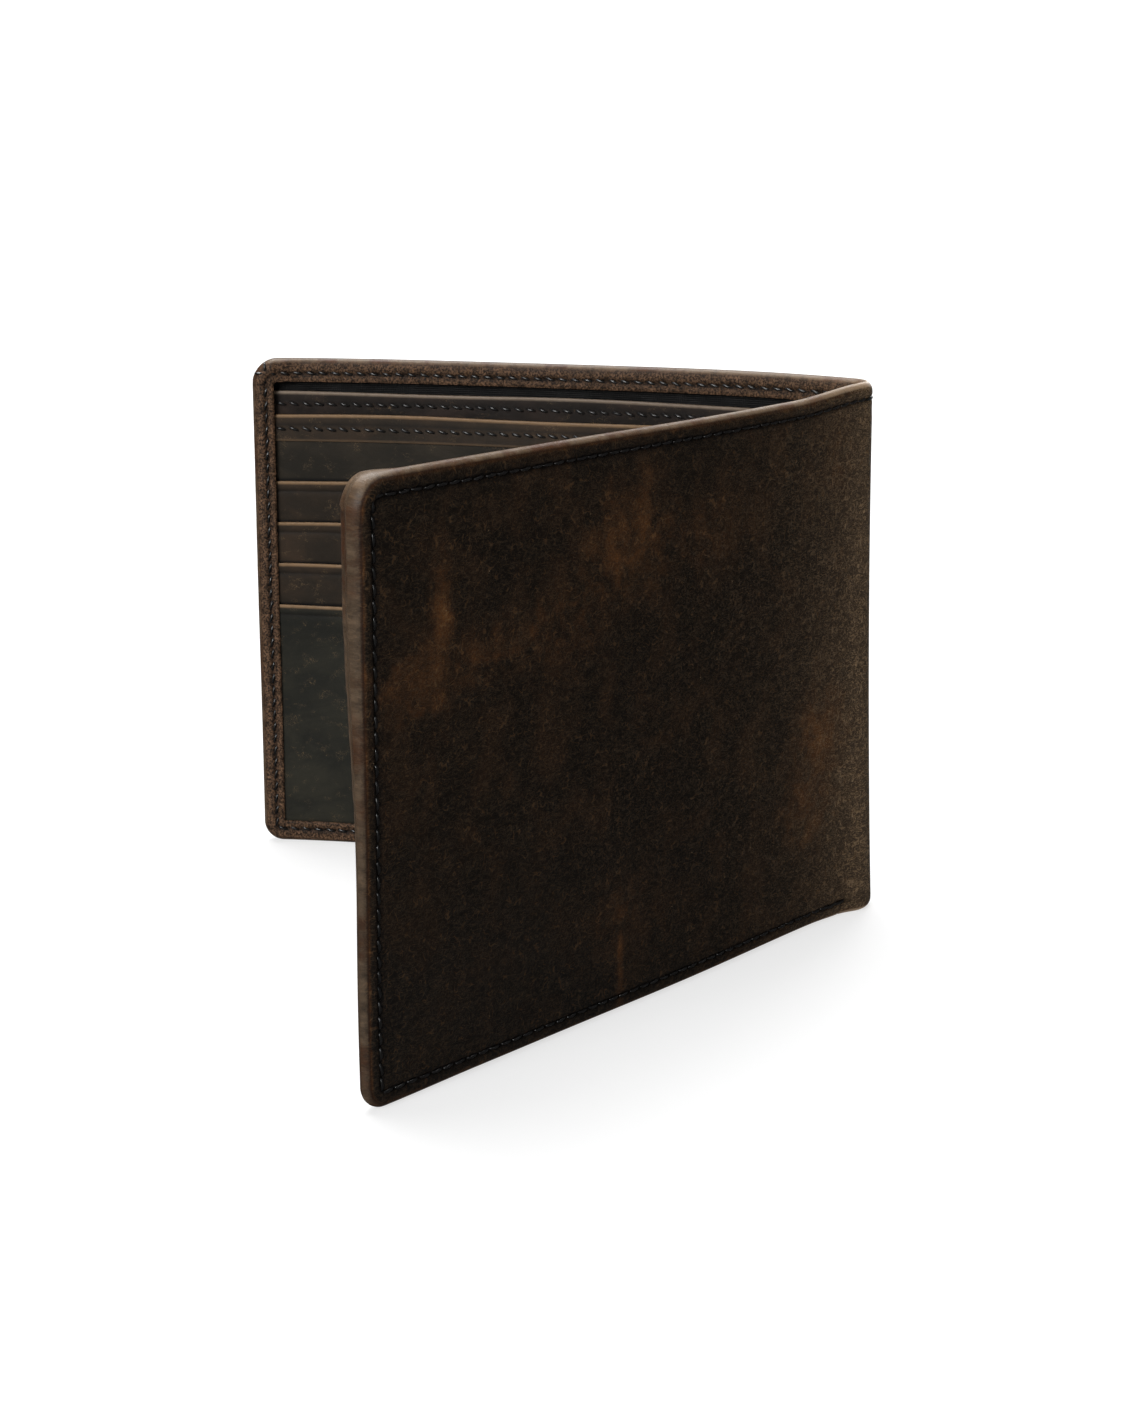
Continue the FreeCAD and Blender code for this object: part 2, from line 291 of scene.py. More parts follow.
def rgb(red, green, blue):
    """A linear colour from display levels of 0 to 255."""
    levels = [level / 255 for level in (red, green, blue)]
    return tuple(v / 12.92 if v <= 0.04045 else ((v + 0.055) / 1.055) ** 2.4 for v in levels) + (1.0,)


# Rubbed patches of the covers: side, u and height of the middle, half width and half height in mm, and strength.
RUBS = [
    ("front", 95.5, 69, 2.2, 7.5, 0.75),
    ("front", 96.5, 61, 3.4, 7, 0.6),
    ("front", 100, 60, 9, 5.5, 0.5),
    ("front", 87, 62, 9, 4.5, 0.45),
    ("front", 61.5, 75, 2.2, 8, 0.6),
    ("front", 54.5, 76, 2.4, 9, 0.65),
    ("front", 58, 73, 11, 9, 0.5),
    ("front", 40, 72, 14, 8, 0.25),
    ("front", 72, 64, 12, 7, 0.35),
    ("front", 10.5, 33, 6.5, 8, 0.75),
    ("front", 13, 23, 8, 9, 0.5),
    ("front", 59.2, 8, 0.9, 11, 0.6),
    ("front", 60, 17, 9, 9, 0.25),
    ("front", 7, 78, 4, 6, 0.35),
    ("back", 30, 62, 2.0, 10, 0.8),
    ("back", 36, 58, 11, 9, 0.5),
    ("back", 78, 30, 13, 7, 0.5),
    ("back", 74, 34, 1.6, 9, 0.7),
    ("back", 60, 76, 9, 6, 0.45),
    ("back", 98, 64, 5, 14, 0.5),
    ("back", 12, 24, 5, 8, 0.6),
]


def shell_leather():
    """Near-black waxed leather, rusty where rubbed, olive-brown at the fold and taupe along the rim; the fold and
    rim tones are partly painted sheen and highlight.
    """
    shader = Shader("shell_leather", Specular_IOR_Level=0.13, Coat_Roughness=0.4, Coat_IOR=1.45)
    flat = shader.attribute("flat")
    rim = shader.attribute("rim", "Fac")
    fold = shader.attribute("fold", "Fac")
    rubbed = shader.attribute("rub", "Fac")
    seam = shader.attribute("seam", "Fac")
    hem = shader.attribute("hem", "Fac")
    foot = shader.attribute("foot", "Fac")
    scale = shader.scaled
    broad = shader.noise(scale(flat, (0.05, 0.045, 0.05)), 4, 0.55)
    cloud = shader.noise(scale(flat, (0.13, 0.1, 0.1), (7, 3, 0)), 5, 0.6, 0.6)
    mottle = shader.noise(scale(flat, (0.7, 0.6, 0.8), (2, 9, 0)), 6, 0.7)
    warp = shader.noise(scale(flat, (0.3, 0.26, 0.2), (11, 5, 2)), 5, 0.65, 0.5)
    # Short fibres, creases and worm-like grain: thin level lines of a warped noise, broken up by a second one.
    strand = shader.noise(scale(flat, (0.62, 0.56, 1.0), (4, 4, 0)), 0, 0.5, 1.3)
    breaks = shader.noise(scale(flat, (0.62, 0.6, 0.7), (1, 2, 3)), 1)
    fibre = abs(strand - 0.5).rise(0.05, 0.012) * breaks.rise(0.48, 0.6)
    strand_two = shader.noise(scale(flat, (1.15, 1.05, 2.0), (9, 1, 5)), 0, 0.5, 1.8)
    fine_fibre = abs(strand_two - 0.5).rise(0.075, 0.015) * breaks.rise(0.55, 0.42)
    creases = shader.noise(scale(flat, (0.95, 0.17, 1.0), (3, 8, 0)), 1, 0.6, 1.1)
    crease = abs(creases - 0.5).rise(0.035, 0.005) * breaks.rise(0.5, 0.62)
    worms = shader.noise(scale(flat, (0.75, 1.3, 1.0), (6, 2, 0)), 1, 0.6, 1.6)
    worm = abs(worms - 0.5).rise(0.06, 0.01)
    grit = shader.noise(scale(flat, (2.6, 2.3, 2.0), (5, 7, 1)), 3, 0.7)
    rub = (rubbed + (warp - 0.5) * 1.5 * rubbed.rise(0.0, 0.3)).rise(0.0, 1.1) * (0.4 + 1.1 * mottle)
    # Near the fold the leather, its grain and its creases are lighter and olive-brown: partly pull-up wear where it
    # bends, partly painted sheen.
    fold_wear_and_sheen = fold * (0.8 + 0.4 * broad)
    colour = shader.blend(foot * (0.4 + broad), rgb(15, 10, 6), rgb(15, 14, 13))
    colour = shader.blend(cloud.rise(0.42, 0.68) * (1 - 0.7 * foot) * 0.95, colour, rgb(37, 22, 9))
    colour = shader.blend(fold_wear_and_sheen * (0.3 + mottle), colour, rgb(72, 58, 43))
    colour = shader.blend(rub * 0.9, colour, rgb(88, 52, 17))
    colour = shader.blend(hem * (0.3 + 0.7 * mottle.rise(0.35, 0.6)), colour, rgb(112, 84, 63))
    colour = shader.blend(grit.rise(0.62, 0.4) * (0.35 + 0.55 * hem), colour, rgb(9, 7, 6))
    colour = shader.blend(fibre * (0.24 + 0.4 * rub), colour, rgb(98, 70, 40))
    colour = shader.blend(fine_fibre * 0.12, colour, rgb(86, 64, 40))
    colour = shader.blend(worm * (0.05 + 0.62 * fold_wear_and_sheen), colour, rgb(128, 104, 76))
    colour = shader.blend(crease * fold_wear_and_sheen * 0.5, colour, rgb(140, 116, 88))
    # The rim: taupe where handled, with rusty and dark patches left between; the taupe is also a painted highlight,
    # stronger along the top and by the fold.
    rim_wear_and_highlight = rim * (0.15 + 1.15 * mottle + 0.4 * fold)
    rim_tone = shader.blend(cloud.rise(0.46, 0.6) * (0.4 + mottle), rgb(106, 86, 66), rgb(74, 40, 18))
    rim_tone = shader.blend(fold, rim_tone, rgb(146, 122, 96))
    colour = shader.blend(rim_wear_and_highlight.rise(0.1, 0.9) * 0.92, colour, rim_tone)
    # Below the taupe crest the rim's inner slope is dark rust-brown: partly its own tone, partly painted shade where
    # the roll turns away from the light.
    inner_rim = rim.rise(0.02, 0.15) * (1 - rim.rise(0.15, 0.5)) * (1 - fold) * (1 - hem)
    colour = shader.blend(inner_rim * 0.8, colour, rgb(36, 18, 8))
    specks = shader.add("TexVoronoi", None, {"Vector": scale(flat, (0.5, 0.5, 0.5)), "Scale": 1.0}, "Distance")
    speck = specks.rise(0.045, 0.02) * breaks.rise(0.52, 0.6)
    colour = shader.blend(speck * 0.5, colour, rgb(180, 155, 120))
    # Dark along the stitch line, in the snip and where the hem's strips meet: the stitch holes and the strips' joint
    # are dark in themselves, the rest is painted shade in the groove and the snip.
    colour = shader.blend(seam * (0.85 - 0.5 * fold), colour, rgb(6, 5, 5))
    rough = 0.5 + 0.16 * (mottle - 0.5) + 0.06 * fold_wear_and_sheen - 0.12 * rim + 0.18 * seam + 0.1 * fibre
    pores = shader.noise(scale(flat, (3.0, 2.6, 3.0)), 5, 0.75)
    normal = shader.bump(mottle * 0.6 + cloud, 0.25 * MM, 0.5)
    normal = shader.bump(pores, 0.09 * MM, 0.55, normal)
    raised = fibre * 0.5 + fine_fibre * 0.4 + worm * (0.2 + fold_wear_and_sheen) + crease * fold_wear_and_sheen
    normal = shader.bump(raised, 0.07 * MM, 0.8, normal)
    return shader.finish(Base_Color=colour, Roughness=rough, Normal=normal, Coat_Weight=rim * 0.35)


HEM_WIDTH = 4.1 * MM
STITCH_INSET = 2.6 * MM
STITCH_PITCH = 2.3 * MM
SEAM_BED = 0.26 * MM
HEM_BED = 0.2 * MM
SEAM_HALF_WIDTH = 0.34 * MM
COVER_THICKNESS = 0.5 * MM
ROLL = 1.75 * MM
TOP_ROLL_DEPTH = 2.5 * MM
CORNER_RADIUS = {"foot": 3.6 * MM, "top": 4.8 * MM}
# A short snip in each cover's foot, beside the spine, ends the turned edge there.
CUT_AT = 3.4 * MM
CUT_DEPTH = 0.35 * MM
# Heights of the pocket tops, in mm, and how much deeper the sewn edge is above each of them than below it.
POCKET_STEP = 7.6
POCKET_TOPS = [68.0 - POCKET_STEP * step for step in range(4)]
POCKET_SWELL = {"back": -0.2 * MM, "front": 0.22 * MM}
# Grid lines of a cover: close together where it rolls, is sewn, is snipped or bends, even elsewhere.
COVER_STEP = 0.62 * MM
CUT_LINES = np.array([-0.45, -0.3, -0.15, 0.0, 0.15, 0.3, 0.45]) * MM
ROLL_STEPS = ROLL * (1 - np.cos(np.radians([0, 15, 30, 45, 60, 75, 90])))
SEAM_STEPS = np.array([2.05, 2.25, 2.42, 2.52, 2.6, 2.68, 2.78, 2.95, 3.2, 3.6, 4.1, 4.7, 5.3, 5.9]) * MM
EDGE_LINES = np.concatenate([ROLL_STEPS, SEAM_STEPS])
FOLD_LINES = np.linspace(-SPINE_LENGTH / 2, 0, 9)
HEM_LINES = int(np.argmin(abs(EDGE_LINES - HEM_WIDTH))) + 1


def edge_depth(side, u, z):
    """Thickness of the sewn edge: the whole stack at the side and foot, a thin roll at the top and by the fold."""
    pockets = sum(smooth(z, top * MM - 0.4 * MM, top * MM + 0.8 * MM) for top in POCKET_TOPS)
    deep = FULL_DEPTH + pockets * POCKET_SWELL[side]
    at_side = smooth(u, LENGTH - HEM_WIDTH - 5 * MM, LENGTH - HEM_WIDTH)
    at_foot = (1 - smooth(z, 6 * MM, 9 * MM)) * smooth(u, 3 * MM, 10 * MM)
    return TOP_ROLL_DEPTH + (deep - TOP_ROLL_DEPTH) * np.maximum(at_side, at_foot)


def rounded(u, z):
    """Draws a square grid near the two free corners in, so that its lines follow the round outline."""
    u, z = u.copy(), z.copy()
    for corner, radius in CORNER_RADIUS.items():
        from_side = LENGTH - u
        from_end = z if corner == "foot" else HEIGHT - z
        inset = np.minimum(from_side, from_end)
        reach = np.maximum(radius - inset, 0)
        along = np.maximum(from_side, from_end) - inset
        inside = along < reach
        turn = math.pi / 4 * (1 - along / np.maximum(reach, 1e-9))
        near = reach * (1 - np.cos(turn))
        far = reach * (1 - np.sin(turn))
        side_first = from_side <= from_end
        new_side = inset + np.where(side_first, near, far)
        new_end = inset + np.where(side_first, far, near)
        u = np.where(inside, LENGTH - new_side, u)
        z = np.where(inside, new_end if corner == "foot" else HEIGHT - new_end, z)
    return u, z


def cover(side):
    """One cover: the outer face, the rolled rim and the hem inside, as one skin that is then given its thickness."""
    middle = np.arange(0.6 * MM, LENGTH - EDGE_LINES[-1] - 0.3 * MM, COVER_STEP)
    middle = np.sort(np.concatenate([middle[abs(middle - CUT_AT) > 0.5 * MM], CUT_AT + CUT_LINES]))
    us = np.concatenate([FOLD_LINES, middle, LENGTH - EDGE_LINES[::-1]])
    rows = np.arange(EDGE_LINES[-1] + COVER_STEP, HEIGHT - EDGE_LINES[-1] - 0.3 * MM, COVER_STEP)
    zs = np.concatenate([EDGE_LINES, rows, HEIGHT - EDGE_LINES[::-1]])
    grid_u, grid_z = np.meshgrid(us, zs)
    inset = np.minimum(np.minimum(grid_z, HEIGHT - grid_z), LENGTH - grid_u)
    u, z = rounded(grid_u, grid_z)
    depth = edge_depth(side, u, z)
    rise = np.sqrt(np.clip(1 - (1 - np.clip(inset / ROLL, 0, 1)) ** 2, 0, 1))
    sewn = 1 - (1 - smooth(u, 1.2 * MM, 2.0 * MM)) * (grid_z < HEIGHT / 2)
    off_seam = inset - STITCH_INSET
    along = np.where(inset == LENGTH - grid_u, grid_z, grid_u)
    pucker = 0.5 + 0.5 * np.cos(2 * math.pi * along / STITCH_PITCH)
    groove = np.exp(-((off_seam / SEAM_HALF_WIDTH) ** 2)) * sewn
    pillow = np.exp(-(((inset - 4.2 * MM) / (1.3 * MM)) ** 2)) * sewn
    cut = np.exp(-(((u - CUT_AT) / (0.2 * MM)) ** 2)) * (1 - smooth(grid_z, 2.4 * MM, 3.0 * MM))
    outer_w = depth / 2 * (1 - rise) + (SEAM_BED + 0.12 * MM * pucker) * groove
    outer_w = outer_w + 0.06 * MM * pillow + CUT_DEPTH * cut
    inner_w = depth / 2 * (1 + rise) - (HEM_BED + 0.1 * MM * pucker) * groove
    lip = smooth(u, LENGTH - HEM_WIDTH - 0.3 * MM, LENGTH - HEM_WIDTH + 0.1 * MM)
    inner_w = inner_w + 0.28 * MM * lip * smooth(z, HEIGHT - HEM_WIDTH, HEIGHT - HEM_WIDTH + 0.2 * MM)
    count_rows, count_columns = grid_u.shape
    is_hem = inset <= EDGE_LINES[HEM_LINES - 1] + 1e-9
    index_out = np.arange(grid_u.size).reshape(grid_u.shape)
    index_in = index_out.copy()
    extra = is_hem & (inset > 1e-9)
    index_in[extra] = grid_u.size + np.arange(extra.sum())
    outer = place(side, u, outer_w, z).reshape(-1, 3)
    inner = place(side, u, inner_w, z)[extra]
    faces = grid_faces(count_rows, count_columns)
    for i in range(count_rows - 1):
        for j in range(count_columns - 1):
            if is_hem[i, j] and is_hem[i + 1, j] and is_hem[i, j + 1] and is_hem[i + 1, j + 1]:
                quad = (index_in[i, j], index_in[i + 1, j], index_in[i + 1, j + 1], index_in[i, j + 1])
                faces.append(tuple(int(v) for v in quad))
    if side == "front":
        faces = [face[::-1] for face in faces]

    def both(values, inner_values=None):
        """Values for the outer face's points, then for the hem's own."""
        inner_part = (values if inner_values is None else inner_values)[extra]
        return np.concatenate([values.reshape(-1), inner_part])

    line = unfolded(side, u) / MM
    layout = np.stack([both(line), both(z / MM), both(outer_w * 0, outer_w * 0 + 5.0)], axis=-1)
    rub = np.zeros_like(u)
    for rubbed_side, at_u, at_z, half_u, half_z, strength in RUBS:
        if rubbed_side == side:
            far = np.hypot((u / MM - at_u) / half_u, (z / MM - at_z) / half_z)
            rub = np.maximum(rub, strength * np.exp(-(far ** 2)))
    rub = np.maximum(rub, 0.5 * np.exp(-(((inset - 0.9 * MM) / (0.3 * MM)) ** 2)))
    rim = 1 - smooth(inset, 0.35 * MM, 1.0 * MM)
    # The rim mark is stronger along the top, where the overhead light falls: a painted highlight over the real edge
    # wear.
    at_top = smooth((LENGTH - grid_u) - (HEIGHT - grid_z), -2 * MM, 2 * MM)
    rim = rim * (0.62 + 0.38 * at_top)
    hem_rim = rim * (1 - smooth(inset, 0.8 * MM, 1.8 * MM))
    # fold: nearness to the spine, which lightens the leather there, partly as pull-up wear and partly as painted
    # sheen.
    fold = 0.05 + 0.95 * np.exp(-np.clip(u, 0, None) / (10.5 * MM))
    at_foot = (1 - smooth(z, 8 * MM, 48 * MM)) * smooth(u, 20 * MM, 80 * MM)
    # dark: the stitch line and the snip, darkened for the stitch holes and as painted shade in their recesses.
    dark = np.maximum(np.exp(-((off_seam / (0.5 * MM)) ** 2)) * sewn, cut)
    strips_meet = np.exp(-(((HEIGHT - grid_z - 4.5 * MM) / (0.25 * MM)) ** 2))
    joint = strips_meet * (1 - smooth(LENGTH - grid_u, HEM_WIDTH - 0.3 * MM, HEM_WIDTH))
    attributes = {
        "flat": layout,
        "rim": both(rim, hem_rim),
        "fold": both(fold, fold * 0.3),
        "foot": both(at_foot, at_foot * 0),
        "hem": both(rim * 0, smooth(inset, 0.0, 1.2 * MM)),
        "rub": both(rub, rub * 0),
        "seam": both(dark, np.maximum(dark * 0.75, joint)),
    }
    points = np.concatenate([outer, inner])
    piece = mesh_object(f"cover_{side}", points, faces, SHELL_LEATHER, attributes)
    wall = piece.modifiers.new("thickness", "SOLIDIFY")
    wall.thickness = COVER_THICKNESS
    wall.offset = -1
    return applied(piece)


SHELL_LEATHER = shell_leather()
BEND_REACH = 2.2 * MM


def ride_fold(piece, side):
    """Bakes a piece's placement into its mesh, the same for either side; the bend places it works out are not used.
    """
    on_half = place(side, BEND_REACH, 0, HEIGHT / 2)
    on_spine = place(side, -BEND_REACH, 0, HEIGHT / 2)
    if side == "back":
        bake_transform(piece)
    else:
        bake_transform(piece)


for side in ("back", "front"):
    leather = cover(side)
    ride_fold(leather, side)
    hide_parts(f"shell_{side}")
    if side == "front":
        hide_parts("spine_shell")


# ---------------------------------------------------------------------------------------------------------------
# Leaves inside: lining of the bill compartment, divider, inner wall. Thin sheets sewn in at the side and foot;
# each runs on into the spine, where the two halves' leaves meet. Their top edges are turned and burnished.
# ---------------------------------------------------------------------------------------------------------------
LEAF_STEP = 1.3 * MM
CREASE_BELOW = 1.8 * MM
TOP_STEPS = np.array([0.0, 0.12, 0.35, 0.7, 1.2, 1.6, 1.8, 2.0, 2.4, 3.0]) * MM


def leaf(name, side, u1, u2, z1, z2, w, thickness, material, gape=0.0, crease=0.0, foot_rim=0.0):
    """A closed thin sheet on one half, from u1 to u2 and z1 to z2, its back at depth w. gape parts its top edge
    from what is behind, crease presses a line below the top, and foot_rim burnishes the foot."""
    us = np.linspace(u1, u2, int((u2 - u1) / LEAF_STEP) + 2)
    if u1 < 0:
        us = np.union1d(us, FOLD_LINES)
    foot = np.arange(z1 + 0.9 * MM, z2 - TOP_STEPS[-1] - 0.4 * MM, LEAF_STEP)
    foot = np.concatenate([z1 + np.array([0, 0.15, 0.3, 0.5]) * MM, foot])
    zs = np.concatenate([foot, z2 - TOP_STEPS[::-1]])
    u, z = np.meshgrid(us, zs)
    below = z2 - z
    sag = 0.12 * MM * np.sin(u / MM / 9.0 + z2 / MM) * smooth(z, z2 - 6 * MM, z2)
    middle = smooth(u, u1, u1 + 14 * MM) * (1 - smooth(u, u2 - 14 * MM, u2))
    parted = gape * smooth(z, z2 - 9 * MM, z2) * (0.35 + 0.65 * middle)
    dip = crease * np.exp(-(((below - CREASE_BELOW) / (0.28 * MM)) ** 2))
    round_top = np.sqrt(np.clip(1 - (1 - np.clip(below / (thickness / 2), 0, 1)) ** 2, 0, 1))
    bead = thickness / 2 * (1 - round_top)
    face_w = w + thickness + parted - dip - bead
    back_w = w + parted * 0.92 + bead
    shape = u.shape
    front = place(side, u, face_w, z + sag).reshape(-1, 3)
    back = place(side, u, back_w, z + sag).reshape(-1, 3)
    size = u.size
    faces = grid_faces(*shape, flip=True) + grid_faces(*shape, offset=size)
    index = np.arange(size).reshape(shape)
    border = np.concatenate([index[0], index[1:, -1], index[-1, -2::-1], index[-2:0:-1, 0]])
    for a, b in zip(border, np.roll(border, -1)):
        faces.append((int(a), int(b), int(b) + size, int(a) + size))
    if side == "front":
        faces = [face[::-1] for face in faces]
    top = 1 - smooth(below, 0.3 * MM, 0.75 * MM)
    top = np.maximum(top, foot_rim * (1 - smooth(z - z1, 0.2 * MM, 0.5 * MM)))
    line = np.concatenate([(unfolded(side, u) / MM).ravel()] * 2)
    height = np.concatenate([(z / MM).ravel()] * 2)
    layer = np.concatenate([np.full(size, w / MM * 7), np.full(size, w / MM * 7 + 3)])
    attributes = {
        "flat": np.stack([line, height, layer], axis=-1),
        "rim": np.concatenate([top.ravel()] * 2),
        # crease: a line below the top, where the leaf's material paints shade.
        "crease": np.concatenate([np.exp(-(((below - CREASE_BELOW) / (0.3 * MM)) ** 2)).ravel()] * 2),
    }
    return mesh_object(name, np.concatenate([front, back]), faces, material, attributes)


def inner_leather(name, base, lit, edge, rough):
    """Waxed inner leather: a plain tone with clouds and scuffs, a paler burnished top edge, and painted shade in the
    crease below the top and above each pocket's top.
    """
    shader = Shader(name, Specular_IOR_Level=0.22)
    flat = shader.attribute("flat")
    rim = shader.attribute("rim", "Fac")
    crease = shader.attribute("crease", "Fac")
    cloud = shader.noise(shader.scaled(flat, (0.1, 0.16, 1.0)), 5, 0.6, 0.5)
    mottle = shader.noise(shader.scaled(flat, (0.9, 0.9, 1.0), (3, 1, 0)), 5, 0.65)
    strand = shader.noise(shader.scaled(flat, (1.1, 1.3, 1.0), (5, 2, 0)), 2, 0.5, 1.8)
    breaks = shader.noise(shader.scaled(flat, (0.4, 0.5, 1.0), (8, 6, 0)), 2)
    fibre = abs(strand - 0.5).rise(0.02, 0.003) * breaks.rise(0.53, 0.66)
    colour = shader.blend(cloud.rise(0.35, 0.75), base, lit)
    colour = shader.blend(fibre * 0.45, colour, rgb(126, 102, 72))
    # Painted shadow in the corner above each pocket's top, where the layer behind lies in shade.
    height = shader.add("SeparateXYZ", None, {0: flat}, "Y")
    above = shader.add("Math", {"operation": "FRACT"}, {0: (height - POCKET_TOPS[0]) / POCKET_STEP + 8.02})
    first, last = POCKET_TOPS[0], POCKET_TOPS[-1]
    pocket_painted_shadow = above.rise(0.11, 0.03) * height.rise(first + 1.4, first + 1.0) * height.rise(last - 1.0, last - 0.4)
    # Painted shade in the line pressed below each leaf's top.
    colour = shader.blend(crease * 0.55, colour, rgb(14, 12, 10))
    colour = shader.blend(pocket_painted_shadow * 0.8, colour, rgb(5, 5, 5))
    colour = shader.blend(rim * (0.5 + 0.7 * mottle), colour, edge)
    roughness = rough + 0.2 * (mottle - 0.5) - 0.12 * rim
    grain = shader.noise(shader.scaled(flat, (4.5, 4.5, 1.0)), 4, 0.7)
    normal = shader.bump(cloud + mottle * 0.5, 0.2 * MM, 0.4)
    normal = shader.bump(grain, 0.05 * MM, 0.5, normal)
    return shader.finish(Base_Color=colour, Roughness=roughness, Normal=normal)


def lining_cloth():
    """Dark, smooth, slightly glossy lining with a fine weave."""
    shader = Shader("lining_cloth", Specular_IOR_Level=0.18)
    flat = shader.attribute("flat")
    cloud = shader.noise(shader.scaled(flat, (0.15, 0.15, 1.0)), 4)
    weave = {"Vector": flat, "Scale": 0.9}
    weft = shader.add("TexWave", {"wave_type": "BANDS", "bands_direction": "Y"}, weave, "Fac")
    warp = shader.add("TexWave", {"wave_type": "BANDS", "bands_direction": "X"}, weave, "Fac")
    colour = shader.blend(cloud, rgb(3, 3, 3), rgb(8, 7, 7))
    colour = shader.blend(weft * warp * 0.3, colour, rgb(30, 29, 29))
    normal = shader.bump(weft + warp, 0.03 * MM, 0.5, shader.bump(cloud, 0.5 * MM, 0.5))
    return shader.finish(Base_Color=colour, Roughness=0.34 + 0.15 * cloud, Normal=normal)


DIVIDER_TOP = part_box("bill_divider_back")[1][2]
WALL_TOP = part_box("inner_wall_back")[1][2]
LEAF_END = LENGTH - 1.6 * MM
LINING_CLOTH = lining_cloth()
DIVIDER_LEATHER = inner_leather("divider_leather", rgb(26, 20, 16), rgb(46, 34, 27), rgb(128, 112, 96), 0.45)
WALL_LEATHER = inner_leather("wall_leather", rgb(32, 28, 21), rgb(46, 39, 29), rgb(122, 98, 72), 0.52)
# Each leaf: foot, top, depth of its back, thickness, material, node it stands for, and slot.
LEAVES = {
    "lining": (1.6 * MM, HEIGHT - 1.6 * MM, 1.0 * MM, 0.15 * MM, LINING_CLOTH, "bill_lining", "bill_lining"),
    "divider": (4.6 * MM, DIVIDER_TOP, 1.5 * MM, 0.35 * MM, DIVIDER_LEATHER, "bill_divider", "divider_leather"),
    "inner_wall": (4.6 * MM, WALL_TOP, 2.1 * MM, 0.25 * MM, WALL_LEATHER, "inner_wall", "inner_wall_leather"),
}
for side in ("back", "front"):
    for name, (z1, z2, w, thickness, material, node, slot) in LEAVES.items():
        sheet = leaf(f"{name}_{side}", side, -SPINE_LENGTH / 2, LEAF_END, z1, z2, w, thickness, material)
        ride_fold(sheet, side)
        name == "lining"
        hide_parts(f"{node}_{side}")
        if side == "front":
            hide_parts("spine_" + node.replace("bill_", ""))


# ---------------------------------------------------------------------------------------------------------------
# Card side: a band along the inner wall's top and four stepped pockets, each a strip of thin leather whose top
# edge is turned and creased. They are sewn in at the side and foot, and up their fold side.
# ---------------------------------------------------------------------------------------------------------------
GUTTER = 8.0 * MM
STRIP_LEATHER = inner_leather("card_leather", rgb(38, 31, 23), rgb(56, 42, 29), rgb(132, 104, 74), 0.5)
FOOT_POCKET_LEATHER = inner_leather("card_leather_foot", rgb(29, 29, 24), rgb(42, 40, 31), rgb(132, 104, 74), 0.5)
CARD_W = 2.35 * MM
CARD_PITCH = 0.35 * MM
STRIP_THICKNESS = 0.3 * MM
STRIP_HEIGHT = 12.0 * MM
for side in ("back", "front"):
    band = leaf(f"top_band_{side}", side, GUTTER, LEAF_END, WALL_TOP - 4.8 * MM, WALL_TOP + 0.05 * MM, CARD_W,
                STRIP_THICKNESS, STRIP_LEATHER, foot_rim=0.25)
    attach(band, f"{side}_half")
    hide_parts(f"top_band_{side}")
    for number, top in enumerate(POCKET_TOPS, start=1):
        foot = top * MM - STRIP_HEIGHT if number < 4 else 1.6 * MM
        depth = CARD_W + (number - 1) * CARD_PITCH
        skin = STRIP_LEATHER if number < 4 else FOOT_POCKET_LEATHER
        pocket = leaf(f"pocket_{number}_{side}", side, GUTTER, LEAF_END, foot, top * MM, depth, STRIP_THICKNESS,
                      skin, gape=0.4 * MM, crease=0.09 * MM)
        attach(pocket, f"{side}_half")
        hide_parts(f"card_pocket_{number}_{side}")


# ---------------------------------------------------------------------------------------------------------------
# Hidden board and cloth: a thin bonded fibre board between shell and lining, and the fabric tails that carry the
# stepped pockets' strips down to the foot. All are cut flat and follow the waves of the leather around them.
# ---------------------------------------------------------------------------------------------------------------
def plain_sheet(name, tone, lit, weave):
    """Cloth or fibre board with a close, even weave."""
    shader = Shader(name, Specular_IOR_Level=0.2)
    flat = shader.attribute("flat")
    cloud = shader.noise(shader.scaled(flat, (0.2, 0.2, 1.0)), 4)
    threads = shader.noise(shader.scaled(flat, (weave, weave, 1.0)), 3, 0.7)
    colour = shader.blend(cloud * 0.5 + threads * 0.5, tone, lit)
    return shader.finish(Base_Color=colour, Roughness=0.75 + 0.15 * threads,
                         Normal=shader.bump(threads, 0.05 * MM, 0.6))


FIBRE_BOARD = plain_sheet("fibre_board", rgb(120, 108, 88), rgb(150, 138, 118), 1.5)
POCKET_CLOTH = plain_sheet("pocket_cloth", rgb(16, 15, 15), rgb(30, 28, 27), 3.5)
BOARD_INSET = HEM_WIDTH + 1.5 * MM
TAIL_INSET = 5.0 * MM
TAIL_END = LENGTH - HEM_WIDTH - 1 * MM
for side in ("back", "front"):
    board = leaf(f"board_{side}", side, 1.5 * MM, LENGTH - BOARD_INSET, BOARD_INSET, HEIGHT - BOARD_INSET,
                 0.78 * MM, 0.2 * MM, FIBRE_BOARD)
    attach(board, f"{side}_half")
    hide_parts(f"stiffener_{side}")
    for number in (1, 2, 3):
        node = f"pocket_tail_{number}_{side}"
        foot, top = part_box(node)[0][2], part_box(node)[1][2]
        tail = leaf(f"tail_{number}_{side}", side, GUTTER + TAIL_INSET, TAIL_END, foot, top,
                    CARD_W + (number - 1) * CARD_PITCH + 0.1 * MM, 0.1 * MM, POCKET_CLOTH)
        top - foot
        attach(tail, f"{side}_half")
        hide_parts(node)


# ---------------------------------------------------------------------------------------------------------------
# Sewing thread: black waxed thread in a lock stitch. Each stitch is a short bar that dips into the leather at
# both ends; rows of them are set on marked places by a node tree, one mesh for each body.
# ---------------------------------------------------------------------------------------------------------------
STITCH_LENGTH = 2.15 * MM
THREAD_RADIUS = 0.26 * MM
BEND_GAP = 0.8 * MM
DIVIDER_FACE = 1.88 * MM


